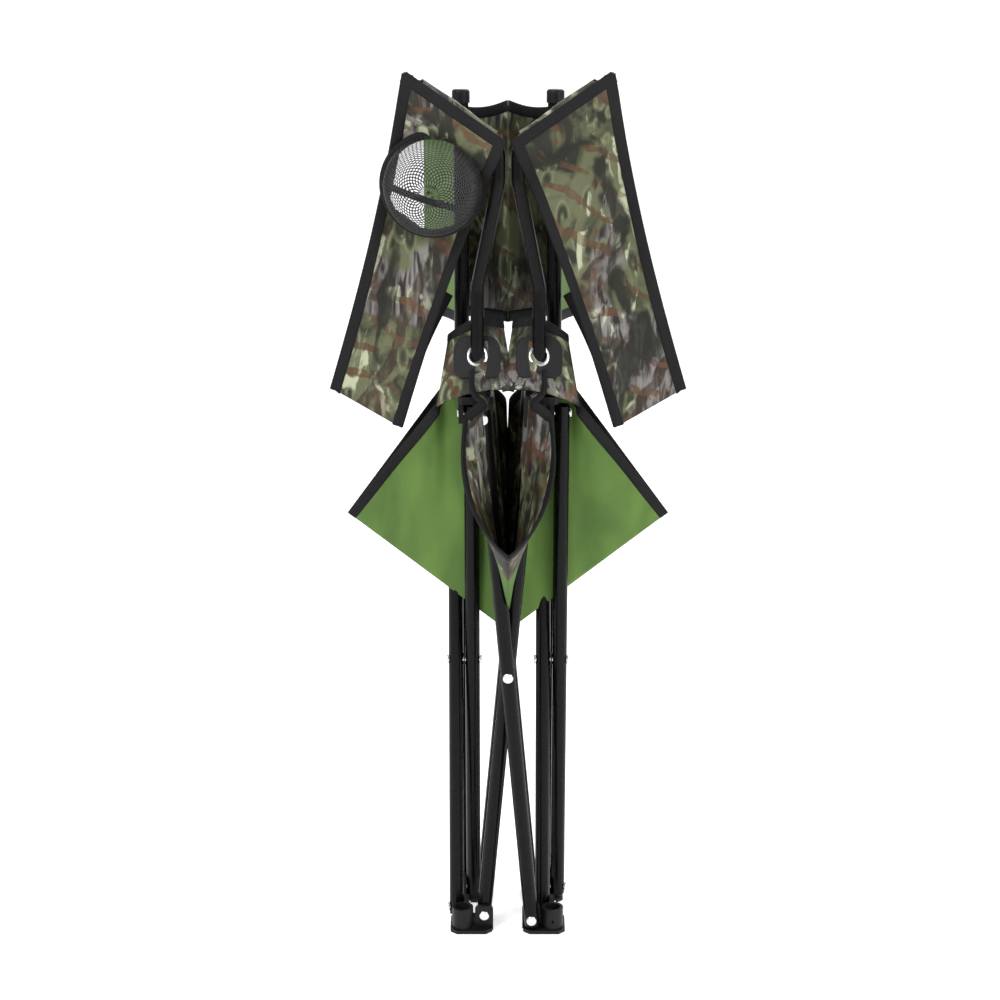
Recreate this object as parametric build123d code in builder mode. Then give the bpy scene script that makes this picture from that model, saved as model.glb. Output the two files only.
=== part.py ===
"""Folding camp chair, stored upright with its four scissor pairs closed.

The viewer stands at -Y. The lattice repeats by quarter turns about +Z: station 0 is the
front scissor pair and the front-right foot, and stations 1, 2 and 3 follow anticlockwise.
"""

import os

from build123d import *

# Driving dimensions, in millimetres.
PIVOT_SPAN = 564.0  # from end pivot to end pivot of a cross tube
FOLDED_REACH = 52.0  # sideways distance between those pivots when folded
FOOT_CENTRE = 40.0  # each foot's centre from the chair's middle, along x and y
PIVOT_HEIGHT = 17.0  # foot pivots above the ground
TUBE_RADIUS = 8.0
TUBE_WALL = 1.2
TUBE_OVERHANG = 8.0  # tube past its end pivots
LAYER_GAP = 2.0  # between the two tubes of a scissor pair
INNER_PLANE = 38.5  # inner tube's axis from the chair's middle
RIVET_RADIUS = 3.0
RIVET_CLEARANCE = 0.05
HEAD_RADIUS = 5.5
HEAD_HEIGHT = 1.8
RUNNING_GAP = 0.3

FOOT_WIDTH = 46.0
FOOT_PLATE = 4.0
FOOT_CHAMFER = 7.0
LUG_THICKNESS = 5.0
LUG_WIDTH = 20.0
LUG_HEIGHT = 28.0
SOCKET_BORE = 8.5
SOCKET_WALL = 3.0
SOCKET_HEIGHT = 27.0
SOCKET_FLOOR = 5.0
DRAIN_RADIUS = 1.5

UPRIGHT_PLACE = 49.5  # back uprights and sockets, along x and y
UPRIGHT_TOP = 900.0
CAP_WALL = 1.4
CAP_HEIGHT = 14.0
POST_PLACE = 32.0  # lower run of the arm posts, along x and y
POST_RADIUS = 7.0
BRACKET_CLEAR = 13.4  # bracket plate above the top pivots
BRACKET_PLATE = 8.0
BRACKET_SLEEVE = 26.0
POST_SLEEVE_WALL = 7.0
COLLAR_SLEEVE = 6.0
COLLAR_WALL = 3.2
COLLAR_GAP = 0.5

CLOTH = 1.6
SEAT_CORNER = 41.0
SEAT_ABOVE_SLEEVE = 6.0
SEAT_HALF = 216.0  # half the side of the opened seat
SEAT_MIDDLE_HEIGHT = 330.0
SEAT_TIP_REACH = 170.5
SEAT_TIP_HEIGHT = 462.6
SEAT_INSET = 8.0
SEAT_TAB = 7.0  # depth of the tab that reaches up to each corner
SEAT_TUBE_GAP = 0.6  # clear of the outer tubes and their rivet heads

OUTER_PLANE = INNER_PLANE + 2 * TUBE_RADIUS + LAYER_GAP
REACH = FOLDED_REACH / 2
RISE = (PIVOT_SPAN**2 - FOLDED_REACH**2) ** 0.5
TOP_PIVOT = PIVOT_HEIGHT + RISE
MIDDLE_PIVOT = PIVOT_HEIGHT + RISE / 2
PLATE_BOTTOM = TOP_PIVOT + BRACKET_CLEAR
PLATE_TOP = PLATE_BOTTOM + BRACKET_PLATE
SLEEVE_TOP = PLATE_TOP + BRACKET_SLEEVE
SEAT_HEIGHT = SLEEVE_TOP + SEAT_ABOVE_SLEEVE

# Arm posts: points for the right post, mirrored for the left one.
POST_BEND = 42.0
POST_LEAN_START = PLATE_BOTTOM + 118.0
POST_CROSS = (9.5, -50.0, POST_LEAN_START + 112.0)
POST_TOP_BEND = (9.5, -50.0, POST_CROSS[2] + 39.0)
POST_END = (90.0, -50.0, POST_TOP_BEND[2] + 57.0)

# Arm rest strip, right side: the sleeve on the post, the fold, and the seat on the upright.
ARM_TOP_DEPTH = POST_TOP_BEND[1] + POST_RADIUS + CLOTH / 2 + RUNNING_GAP
ARM_TOP_INNER = Vector(4.0, ARM_TOP_DEPTH, POST_TOP_BEND[2] - 4.0)
ARM_TOP_OUTER = Vector(103.0, ARM_TOP_DEPTH, POST_END[2] + 9.0)
ARM_FOLD_INNER = Vector(112.0, -22.0, 563.0)
ARM_FOLD_OUTER = Vector(185.0, -22.0, 604.0)
ARM_REAR_SPAN = (ARM_FOLD_OUTER - ARM_FOLD_INNER) * 0.5
ARM_REAR_INNER = Vector(UPRIGHT_PLACE + 8.4, UPRIGHT_PLACE - 2.5, 690.0)
ARM_REAR_OUTER = ARM_REAR_INNER + ARM_REAR_SPAN
FOLD_GAP = 5.0
CUP_RING_RADIUS = 50.0
CUP_RING_WIRE = 3.0
CUP_DEPTH = 46.0
CUP_PLACE = 0.24  # along the arm strip, from the post
CUP_WALL = 1.2

# Back panel, four vertical strips folded rearward.
BACK_BOTTOM = 655.0
BACK_TOP = 892.0
BACK_START = (UPRIGHT_PLACE, UPRIGHT_PLACE + TUBE_RADIUS)
BACK_FOLD = (92.0, 161.5)
BACK_MIDDLE = (4.0, 91.4)
BACK_START_GAP = 0.7
BACK_FOLD_GAP = 5.0

STATIONS = ("front", "right", "rear", "left")
CORNERS = ("front_right", "rear_right", "rear_left", "front_left")
TUBE_ROUTES = {
    "outer": ((REACH, PIVOT_HEIGHT), (-REACH, TOP_PIVOT), OUTER_PLANE),
    "inner": ((-REACH, PIVOT_HEIGHT), (REACH, TOP_PIVOT), INNER_PLANE),
}


def turned(quarter):
    """The ground plane turned by quarter turns about +Z."""
    return Plane.XY.rotated((0, 0, 90 * quarter))


def front_plane(quarter, depth):
    """A station's upright plane, depth outward from the middle, facing outward."""
    base = turned(quarter)
    return Plane(origin=base.from_local_coords((0, -depth, 0)), x_dir=base.x_dir, z_dir=-base.y_dir)


def side_plane(quarter, depth):
    """The upright plane of the next station, depth outward from the middle."""
    return front_plane(quarter + 1, depth)


def write(part, name):
    """Label one sub-part and write its STEP file."""
    part.label = name
    export_step(part, f"parts/{name}.step")


def cross_tube(quarter, kind):
    """One straight tube of a scissor pair, with its three rivet holes."""
    low, high, depth = TUBE_ROUTES[kind]
    wall_plane = front_plane(quarter, depth)
    start = wall_plane.from_local_coords((low[0], low[1], 0))
    finish = wall_plane.from_local_coords((high[0], high[1], 0))
    along = (finish - start).normalized()
    section = Plane(origin=start - along * TUBE_OVERHANG, z_dir=along)
    length = PIVOT_SPAN + 2 * TUBE_OVERHANG
    middle = ((low[0] + high[0]) / 2, (low[1] + high[1]) / 2)
    with BuildPart() as tube:
        with BuildSketch(section):
            Circle(TUBE_RADIUS)
            Circle(TUBE_RADIUS - TUBE_WALL, mode=Mode.SUBTRACT)
        extrude(amount=length)
        with BuildSketch(wall_plane):
            with Locations(low, middle, high):
                Circle(RIVET_RADIUS + RIVET_CLEARANCE)
        extrude(amount=2 * TUBE_RADIUS, both=True, mode=Mode.SUBTRACT)
    return tube.part


def rivet(plane, place, near, far):
    """A round rivet with two domed heads; near and far are the grip's ends off the plane."""
    with BuildPart() as pin:
        with BuildSketch(plane.offset(near)):
            with Locations(place):
                Circle(RIVET_RADIUS)
        extrude(amount=far - near)
        with BuildSketch(plane.offset(far)):
            with Locations(place):
                Circle(HEAD_RADIUS)
        extrude(amount=HEAD_HEIGHT)
        fillet(pin.faces().sort_by(Axis(plane.origin, plane.z_dir))[-1].edges(), HEAD_HEIGHT * 0.6)
        with BuildSketch(plane.offset(near - HEAD_HEIGHT)):
            with Locations(place):
                Circle(HEAD_RADIUS)
        extrude(amount=HEAD_HEIGHT)
        fillet(pin.faces().sort_by(Axis(plane.origin, plane.z_dir))[0].edges(), HEAD_HEIGHT * 0.6)
    return pin.part


def foot(quarter):
    """Moulded foot: plate, a lug for each of its two tubes, and a round upright socket."""
    base = turned(quarter)
    outer_lug = OUTER_PLANE - TUBE_RADIUS - RUNNING_GAP - LUG_THICKNESS
    inner_lug = INNER_PLANE + TUBE_RADIUS + RUNNING_GAP
    with BuildPart() as shoe:
        with BuildSketch(base):
            with Locations((FOOT_CENTRE, -FOOT_CENTRE)):
                corners = Rectangle(FOOT_WIDTH, FOOT_WIDTH).vertices()
            chamfer(corners, FOOT_CHAMFER)
        extrude(amount=FOOT_PLATE)
        with BuildSketch(front_plane(quarter, outer_lug)):
            with Locations((REACH, LUG_HEIGHT / 2)):
                RectangleRounded(LUG_WIDTH, LUG_HEIGHT, LUG_WIDTH / 4)
            with Locations((REACH, LUG_HEIGHT / 4)):
                Rectangle(LUG_WIDTH, LUG_HEIGHT / 2)
            with Locations((REACH, PIVOT_HEIGHT)):
                Circle(RIVET_RADIUS + RIVET_CLEARANCE, mode=Mode.SUBTRACT)
        extrude(amount=LUG_THICKNESS)
        with BuildSketch(side_plane(quarter, inner_lug)):
            with Locations((-REACH, LUG_HEIGHT / 2)):
                RectangleRounded(LUG_WIDTH, LUG_HEIGHT, LUG_WIDTH / 4)
            with Locations((-REACH, LUG_HEIGHT / 4)):
                Rectangle(LUG_WIDTH, LUG_HEIGHT / 2)
            with Locations((-REACH, PIVOT_HEIGHT)):
                Circle(RIVET_RADIUS + RIVET_CLEARANCE, mode=Mode.SUBTRACT)
        extrude(amount=LUG_THICKNESS)
        with BuildSketch(base):
            with Locations((UPRIGHT_PLACE, -UPRIGHT_PLACE)):
                Circle(SOCKET_BORE + SOCKET_WALL)
        extrude(amount=SOCKET_HEIGHT)
        with BuildSketch(base.offset(SOCKET_FLOOR)):
            with Locations((UPRIGHT_PLACE, -UPRIGHT_PLACE)):
                Circle(SOCKET_BORE)
        extrude(amount=SOCKET_HEIGHT, mode=Mode.SUBTRACT)
        with BuildSketch(front_plane(quarter, UPRIGHT_PLACE)):
            with Locations((UPRIGHT_PLACE, SOCKET_HEIGHT / 2)):
                Circle(DRAIN_RADIUS)
        extrude(amount=SOCKET_BORE + 2 * SOCKET_WALL, mode=Mode.SUBTRACT)
    return shoe.part


def foot_rivets(quarter):
    """The two rivets that hold a foot's tubes to its lugs."""
    outer_grip = OUTER_PLANE - TUBE_RADIUS - RUNNING_GAP - LUG_THICKNESS
    outer_pin = rivet(front_plane(quarter, 0), (REACH, PIVOT_HEIGHT),
                      outer_grip, OUTER_PLANE + TUBE_RADIUS + RUNNING_GAP)
    inner_grip = INNER_PLANE - TUBE_RADIUS - RUNNING_GAP
    inner_pin = rivet(side_plane(quarter, 0), (-REACH, PIVOT_HEIGHT),
                      inner_grip, INNER_PLANE + TUBE_RADIUS + RUNNING_GAP + LUG_THICKNESS)
    return Compound(children=[outer_pin, inner_pin])


def bracket(quarter, place, bore, sleeve_radius, sleeve_height, blind):
    """Top joint: two lugs for the tube ends under a plate with an upright sleeve."""
    base = turned(quarter)
    inner_lug = INNER_PLANE + TUBE_RADIUS + RUNNING_GAP
    outer_lug = OUTER_PLANE - TUBE_RADIUS - RUNNING_GAP - LUG_THICKNESS
    lug_bottom = TOP_PIVOT - LUG_WIDTH / 2
    lug_height = PLATE_TOP - lug_bottom
    low = REACH - LUG_WIDTH / 2
    high = max(place + sleeve_radius, inner_lug + LUG_THICKNESS)
    with BuildPart() as joint:
        with BuildSketch(base.offset(PLATE_BOTTOM)):
            with Locations(((low + high) / 2, -(low + high) / 2)):
                corners = Rectangle(high - low, high - low).vertices()
            chamfer(corners, FOOT_CHAMFER / 2)
        extrude(amount=BRACKET_PLATE)
        with BuildSketch(front_plane(quarter, inner_lug)):
            with Locations((REACH, lug_bottom + lug_height / 2)):
                Rectangle(LUG_WIDTH, lug_height)
            with Locations((REACH, TOP_PIVOT)):
                Circle(RIVET_RADIUS + RIVET_CLEARANCE, mode=Mode.SUBTRACT)
        extrude(amount=LUG_THICKNESS)
        with BuildSketch(side_plane(quarter, outer_lug)):
            with Locations((-REACH, lug_bottom + lug_height / 2)):
                Rectangle(LUG_WIDTH, lug_height)
            with Locations((-REACH, TOP_PIVOT)):
                Circle(RIVET_RADIUS + RIVET_CLEARANCE, mode=Mode.SUBTRACT)
        extrude(amount=LUG_THICKNESS)
        with BuildSketch(base.offset(PLATE_BOTTOM)):
            with Locations((place, -place)):
                Circle(sleeve_radius)
        extrude(amount=BRACKET_PLATE + sleeve_height)
        with BuildSketch(base.offset(PLATE_BOTTOM + (2.0 if blind else 0.0))):
            with Locations((place, -place)):
                Circle(bore)
        extrude(amount=BRACKET_PLATE + sleeve_height, mode=Mode.SUBTRACT)
    return joint.part


def bracket_rivets(quarter):
    """The two rivets that hold the tube ends under a bracket."""
    inner_pin = rivet(front_plane(quarter, 0), (REACH, TOP_PIVOT),
                      INNER_PLANE - TUBE_RADIUS - RUNNING_GAP,
                      INNER_PLANE + TUBE_RADIUS + RUNNING_GAP + LUG_THICKNESS)
    outer_pin = rivet(side_plane(quarter, 0), (-REACH, TOP_PIVOT),
                      OUTER_PLANE - TUBE_RADIUS - RUNNING_GAP - LUG_THICKNESS,
                      OUTER_PLANE + TUBE_RADIUS + RUNNING_GAP)
    return Compound(children=[inner_pin, outer_pin])


def middle_rivet(quarter):
    """The rivet through both tubes of a scissor pair."""
    return rivet(front_plane(quarter, 0), (0, MIDDLE_PIVOT),
                 INNER_PLANE - TUBE_RADIUS - RUNNING_GAP, OUTER_PLANE + TUBE_RADIUS + RUNNING_GAP)


def spacer(quarter):
    """The washer between the two tubes of a scissor pair."""
    thickness = LAYER_GAP - 2 * RUNNING_GAP
    with BuildPart() as washer:
        with BuildSketch(front_plane(quarter, INNER_PLANE + TUBE_RADIUS + RUNNING_GAP)):
            with Locations((0, MIDDLE_PIVOT)):
                Circle(HEAD_RADIUS + 1)
                Circle(RIVET_RADIUS + RIVET_CLEARANCE, mode=Mode.SUBTRACT)
        extrude(amount=thickness)
    return washer.part


def arm_post(side):
    """Bent post that carries the front of an arm rest; side is 1 on the right, -1 on the left."""
    points = [
        (POST_PLACE, -POST_PLACE, PLATE_BOTTOM + 2.5),
        (POST_PLACE, -POST_PLACE, POST_LEAN_START),
        POST_CROSS,
        POST_TOP_BEND,
        POST_END,
    ]
    route = [(side * x, y, z) for x, y, z in points]
    with BuildPart() as post:
        with BuildLine():
            path = FilletPolyline(*route, radius=POST_BEND * 0.7)
        with BuildSketch(Plane(origin=route[0], z_dir=(0, 0, 1))):
            Circle(POST_RADIUS)
        sweep(path=path)
    return post.part


def back_upright(side):
    """Straight tube from the rear foot's socket to the top of the back panel."""
    with BuildPart() as upright:
        with BuildSketch(Plane.XY.offset(SOCKET_FLOOR)):
            with Locations((side * UPRIGHT_PLACE, UPRIGHT_PLACE)):
                Circle(TUBE_RADIUS)
                Circle(TUBE_RADIUS - TUBE_WALL, mode=Mode.SUBTRACT)
        extrude(amount=UPRIGHT_TOP - SOCKET_FLOOR)
    return upright.part


def top_cap(side):
    """Moulded cap over the end of a back upright."""
    radius = TUBE_RADIUS + CAP_WALL
    with BuildPart() as cap:
        with BuildSketch(Plane.XY.offset(UPRIGHT_TOP - CAP_HEIGHT / 2)):
            with Locations((side * UPRIGHT_PLACE, UPRIGHT_PLACE)):
                Circle(radius)
        extrude(amount=CAP_HEIGHT)
        fillet(cap.faces().sort_by(Axis.Z)[-1].edges(), radius / 3)
        with BuildSketch(Plane.XY.offset(UPRIGHT_TOP - CAP_HEIGHT)):
            with Locations((side * UPRIGHT_PLACE, UPRIGHT_PLACE)):
                Circle(TUBE_RADIUS)
        extrude(amount=CAP_HEIGHT, mode=Mode.SUBTRACT)
    return cap.part


def cloth_panel(points, thickness=CLOTH):
    """A flat closed panel of cloth through the given corners."""
    first, second, third = points[0], points[1], points[2]
    normal = (second - first).cross(third - first).normalized()
    plane = Plane(origin=first, x_dir=(second - first).normalized(), z_dir=normal)
    flat = [plane.to_local_coords(point) for point in points]
    with BuildPart() as panel:
        with BuildSketch(plane):
            with BuildLine():
                Polyline(*[(point.X, point.Y) for point in flat], close=True)
            make_face()
        extrude(amount=thickness / 2, both=True)
    return panel.part


def seat_points(station, hand):
    """Corner, edge fold and middle of one seat facet; hand 1 lies on its fold's right."""
    base = turned(station)
    corner = base.from_local_coords((hand * SEAT_CORNER, -SEAT_CORNER, SEAT_HEIGHT))
    tip = base.from_local_coords((0, -SEAT_TIP_REACH, SEAT_TIP_HEIGHT))
    middle = Vector(0, 0, SEAT_MIDDLE_HEIGHT)
    return corner, tip, middle


def seat_facet(station, hand):
    """The part of one seat triangle outside the tubes, with the tab up to its corner."""
    corner, tip, middle = seat_points(station, hand)
    outside = OUTER_PLANE + TUBE_RADIUS + HEAD_HEIGHT + SEAT_TUBE_GAP
    hem_share = (outside - SEAT_CORNER) / (SEAT_TIP_REACH - SEAT_CORNER)
    fold_share = outside / SEAT_TIP_REACH
    hem = corner + (tip - corner) * hem_share
    fold = middle + (tip - middle) * fold_share
    tab = hem + (fold - hem).normalized() * SEAT_TAB
    heart = (hem + tip + fold) * (1 / 3)
    low_tip = tip + (heart - tip).normalized() * SEAT_INSET
    low_fold = fold + (heart - fold).normalized() * SEAT_INSET
    return cloth_panel([corner, low_tip, low_fold, tab])


def mirrored(point, side):
    """A right-hand point, or its mirror image for the left side."""
    return Vector(side * point.X, point.Y, point.Z)


def arm_front(side):
    """Front stretch of an arm rest, from its post down to the fold."""
    down_inner = (ARM_FOLD_INNER - ARM_TOP_INNER).normalized()
    down_outer = (ARM_FOLD_OUTER - ARM_TOP_OUTER).normalized()
    sleeve_clear = POST_RADIUS + CLOTH
    corners = [
        ARM_TOP_INNER + down_inner * sleeve_clear,
        ARM_FOLD_INNER,
        ARM_FOLD_OUTER,
        ARM_TOP_OUTER + down_outer * sleeve_clear,
    ]
    strip = cloth_panel([mirrored(point, side) for point in corners])
    if side > 0:
        return strip
    with BuildPart() as holed:
        add(strip)
        with BuildSketch(cup_plane()):
            Circle(CUP_RING_RADIUS - CUP_RING_WIRE)
        extrude(amount=4 * CUP_RING_WIRE, both=True, mode=Mode.SUBTRACT)
    return holed.part


def arm_rear(side):
    """Rear stretch of an arm rest, from the fold back up to the upright."""
    rise_inner = (ARM_REAR_INNER - ARM_FOLD_INNER).normalized()
    rise_outer = (ARM_REAR_OUTER - ARM_FOLD_OUTER).normalized()
    shift = Vector(0, FOLD_GAP, 0)
    corners = [
        ARM_FOLD_INNER + shift + rise_inner * FOLD_GAP,
        ARM_REAR_INNER,
        ARM_REAR_OUTER,
        ARM_FOLD_OUTER + shift + rise_outer * FOLD_GAP,
    ]
    return cloth_panel([mirrored(point, side) for point in corners])


def back_strip(side, start, finish, start_gap, finish_gap):
    """One vertical strip of the back panel, between two plan points."""
    first = Vector(start[0], start[1], 0)
    second = Vector(finish[0], finish[1], 0)
    along = (second - first).normalized()
    low = first + along * start_gap
    high = second - along * finish_gap
    corners = [Vector(low.X, low.Y, BACK_BOTTOM), Vector(high.X, high.Y, BACK_BOTTOM),
               Vector(high.X, high.Y, BACK_TOP), Vector(low.X, low.Y, BACK_TOP)]
    return cloth_panel([mirrored(point, side) for point in corners])


def cup_plane():
    """The plane of the cup holder's ring, in the left arm rest's front stretch."""
    top = (mirrored(ARM_TOP_INNER, -1) + mirrored(ARM_TOP_OUTER, -1)) * 0.5
    fold = (mirrored(ARM_FOLD_INNER, -1) + mirrored(ARM_FOLD_OUTER, -1)) * 0.5
    across = mirrored(ARM_TOP_OUTER, -1) - mirrored(ARM_TOP_INNER, -1)
    normal = (fold - top).cross(across).normalized()
    if normal.Y > 0:
        normal = normal * -1
    stand_off = CUP_RING_WIRE + CLOTH + RUNNING_GAP
    place = top + (fold - top) * CUP_PLACE + normal * stand_off
    return Plane(origin=place, x_dir=across.normalized(), z_dir=normal)


def cup_ring():
    """Stiff hoop at the mouth of the mesh cup holder."""
    plane = cup_plane()
    with BuildPart() as ring:
        with BuildSketch(Plane(origin=plane.origin, x_dir=plane.x_dir, z_dir=plane.y_dir)):
            with Locations((CUP_RING_RADIUS, 0)):
                Circle(CUP_RING_WIRE)
        revolve(axis=Axis(plane.origin, plane.z_dir), revolution_arc=360)
    return ring.part


def cup_bag():
    """Mesh bag of the cup holder, a shallow open pouch in front of the arm rest."""
    plane = cup_plane()
    base_radius = CUP_RING_RADIUS - 2 * CUP_RING_WIRE
    with BuildPart() as bag:
        with BuildSketch(plane.offset(CUP_RING_WIRE + RUNNING_GAP)):
            Circle(CUP_RING_RADIUS)
        with BuildSketch(plane.offset(CUP_DEPTH)):
            Circle(base_radius)
        loft()
        with BuildSketch(plane.offset(CUP_RING_WIRE + RUNNING_GAP)):
            Circle(CUP_RING_RADIUS - CUP_WALL)
        with BuildSketch(plane.offset(CUP_DEPTH - CUP_WALL)):
            Circle(base_radius - CUP_WALL)
        loft(mode=Mode.SUBTRACT)
    return bag.part


def build():
    """Make every sub-part and write it."""
    os.makedirs("parts", exist_ok=True)
    for quarter, station in enumerate(STATIONS):
        corner = CORNERS[quarter]
        write(foot(quarter), f"foot_{corner}")
        write(foot_rivets(quarter), f"foot_rivets_{corner}")
        write(cross_tube(quarter, "outer"), f"tube_{station}_outer")
        write(cross_tube(quarter, "inner"), f"tube_{station}_inner")
        write(middle_rivet(quarter), f"middle_rivet_{station}")
        write(spacer(quarter), f"spacer_{station}")
        write(bracket_rivets(quarter), f"bracket_rivets_{corner}")
        write(seat_facet(quarter, 1), f"seat_{station}_at_{corner}")
        write(seat_facet(quarter, -1), f"seat_{station}_at_{CORNERS[quarter - 1]}")
    for quarter in (0, 3):
        sleeve = POST_RADIUS + POST_SLEEVE_WALL
        write(bracket(quarter, POST_PLACE, POST_RADIUS, sleeve, BRACKET_SLEEVE, True),
              f"bracket_{CORNERS[quarter]}")
    for quarter in (1, 2):
        bore = TUBE_RADIUS + COLLAR_GAP
        write(bracket(quarter, UPRIGHT_PLACE, bore, bore + COLLAR_WALL, COLLAR_SLEEVE, False),
              f"collar_{CORNERS[quarter]}")
    for side, name in ((1, "right"), (-1, "left")):
        write(arm_post(side), f"arm_post_{name}")
        write(back_upright(side), f"back_upright_{name}")
        write(top_cap(side), f"top_cap_{name}")
        write(arm_front(side), f"arm_front_{name}")
        write(arm_rear(side), f"arm_rear_{name}")
        side_strip = back_strip(side, BACK_START, BACK_FOLD, BACK_START_GAP, CLOTH)
        write(side_strip, f"back_side_{name}")
        middle_strip = back_strip(side, BACK_FOLD, BACK_MIDDLE, BACK_FOLD_GAP, CLOTH)
        write(middle_strip, f"back_middle_{name}")
    write(cup_ring(), "cup_holder_ring")
    write(cup_bag(), "cup_holder_bag")


build()
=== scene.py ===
import logging
import math
from dataclasses import dataclass, field
from enum import Enum

import bmesh
import bpy
import numpy as np
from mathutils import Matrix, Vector


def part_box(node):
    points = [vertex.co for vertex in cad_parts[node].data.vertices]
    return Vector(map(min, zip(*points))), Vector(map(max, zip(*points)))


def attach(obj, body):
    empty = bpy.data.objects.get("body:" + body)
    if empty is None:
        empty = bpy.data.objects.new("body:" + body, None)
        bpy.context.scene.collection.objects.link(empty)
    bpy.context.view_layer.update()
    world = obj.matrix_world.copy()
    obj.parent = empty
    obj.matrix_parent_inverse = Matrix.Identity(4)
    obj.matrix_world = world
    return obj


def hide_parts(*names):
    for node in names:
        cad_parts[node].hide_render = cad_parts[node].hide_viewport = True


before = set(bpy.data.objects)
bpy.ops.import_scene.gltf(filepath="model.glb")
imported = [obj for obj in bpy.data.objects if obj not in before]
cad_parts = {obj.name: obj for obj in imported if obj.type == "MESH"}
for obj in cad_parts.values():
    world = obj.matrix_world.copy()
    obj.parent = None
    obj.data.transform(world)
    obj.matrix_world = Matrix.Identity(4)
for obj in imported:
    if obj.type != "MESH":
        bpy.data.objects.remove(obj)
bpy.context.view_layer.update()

LOG = logging.getLogger("camp_chair")
STATIONS = ("front", "right", "rear", "left")
CORNERS = ("front_right", "rear_right", "rear_left", "front_left")
Colour = tuple[float, float, float, float]
Place = tuple[float, float, float]


class Side(Enum):
    """The chair's two sides, as the sign of x."""

    RIGHT = 1
    LEFT = -1


class Field:
    """A number socket of a shader, which takes part in plain arithmetic."""

    def __init__(self, tree: "Tree", socket: bpy.types.NodeSocket) -> None:
        """Keep the tree and the socket."""
        self.tree = tree
        self.socket = socket

    def _math(self, operation: str, *values: object) -> "Field":
        """One Math node on the given values."""
        made = self.tree.node("ShaderNodeMath", {"operation": operation}, dict(enumerate(values)))
        return Field(self.tree, made.outputs[0])

    def __add__(self, other: object) -> "Field":
        """Sum."""
        return self._math("ADD", self, other)

    def __sub__(self, other: object) -> "Field":
        """Difference."""
        return self._math("SUBTRACT", self, other)

    def __rsub__(self, other: object) -> "Field":
        """Reflected difference."""
        return self._math("SUBTRACT", other, self)

    def __mul__(self, other: object) -> "Field":
        """Product."""
        return self._math("MULTIPLY", self, other)

    def __gt__(self, other: object) -> "Field":
        """One where this is greater."""
        return self._math("GREATER_THAN", self, other)

    def absolute(self) -> "Field":
        """Magnitude."""
        return self._math("ABSOLUTE", self)

    def sine(self) -> "Field":
        """Sine in radians."""
        return self._math("SINE", self)

    def soft_step(self, low: float, high: float) -> "Field":
        """A smooth rise from 0 at low to 1 at high."""
        made = self.tree.node("ShaderNodeMapRange", {"interpolation_type": "SMOOTHSTEP"},
                              {"Value": self, "From Min": low, "From Max": high})
        return Field(self.tree, made.outputs[0])

    __radd__ = __add__
    __rmul__ = __mul__


class Tree:
    """A material's node tree around one principled shader."""

    def __init__(self, name: str) -> None:
        """Start an empty material."""
        self.material = bpy.data.materials.new(name)
        self.material.use_nodes = True
        self.nodes = self.material.node_tree.nodes
        self.links = self.material.node_tree.links
        self.shader = self.nodes["Principled BSDF"]

    def node(self, kind: str, settings: dict | None = None,
             inputs: dict | None = None) -> bpy.types.Node:
        """Add a node: its settings first, then the values or links of its sockets.

        Args:
            kind: the node's type name.
            settings: properties set before anything else.
            inputs: values or sockets by input name or number.

        Returns:
            The new node.
        """
        made = self.nodes.new(kind)
        for key, value in (settings or {}).items():
            setattr(made, key, value)
        for key, value in (inputs or {}).items():
            self.feed(made.inputs[key], value)
        return made

    def feed(self, socket: bpy.types.NodeSocket, value: object) -> None:
        """Link or set one socket."""
        if isinstance(value, Field):
            self.links.new(value.socket, socket)
        elif isinstance(value, bpy.types.NodeSocket):
            self.links.new(value, socket)
        else:
            socket.default_value = value

    def place(self, scale: Place = (1, 1, 1), turn: float = 0.0) -> bpy.types.NodeSocket:
        """Object coordinates, stretched by scale and turned about y."""
        source = self.node("ShaderNodeTexCoord").outputs["Object"]
        made = self.node("ShaderNodeMapping", None,
                         {"Vector": source, "Scale": scale, "Rotation": (0.0, turn, 0.0)})
        return made.outputs[0]

    def noise(self, vector: bpy.types.NodeSocket, scale: float, detail: float = 4.0,
              distortion: float = 0.0) -> Field:
        """A noise value between 0 and 1."""
        made = self.node("ShaderNodeTexNoise", None,
                         {"Vector": vector, "Scale": scale, "Detail": detail,
                          "Distortion": distortion})
        return Field(self, made.outputs[0])

    def mix(self, factor: object, first: object, second: object) -> bpy.types.NodeSocket:
        """Blend two colours."""
        made = self.node("ShaderNodeMix", {"data_type": "RGBA"})
        self.feed(made.inputs[0], factor)
        self.feed(made.inputs[6], first)
        self.feed(made.inputs[7], second)
        return made.outputs[2]

    def bump(self, height: Field, strength: float, distance: float) -> None:
        """Feed the shader's normal from a height."""
        made = self.node("ShaderNodeBump", None,
                         {"Height": height, "Strength": strength, "Distance": distance})
        self.links.new(made.outputs[0], self.shader.inputs["Normal"])


def rgb(red: float, green: float, blue: float) -> Colour:
    """A colour with full alpha."""
    return (red, green, blue, 1.0)


def weave(tree: Tree, pitch: float) -> Field:
    """A plain weave: product of two sines of the given thread pitch, in metres."""
    parts = tree.node("ShaderNodeSeparateXYZ", None, {0: tree.place()})
    rate = 2 * math.pi / pitch
    across = (Field(tree, parts.outputs[0]) + Field(tree, parts.outputs[1])) * rate
    up = Field(tree, parts.outputs[2]) * rate
    return across.sine() * up.sine() * 0.5 + 0.5


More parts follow.
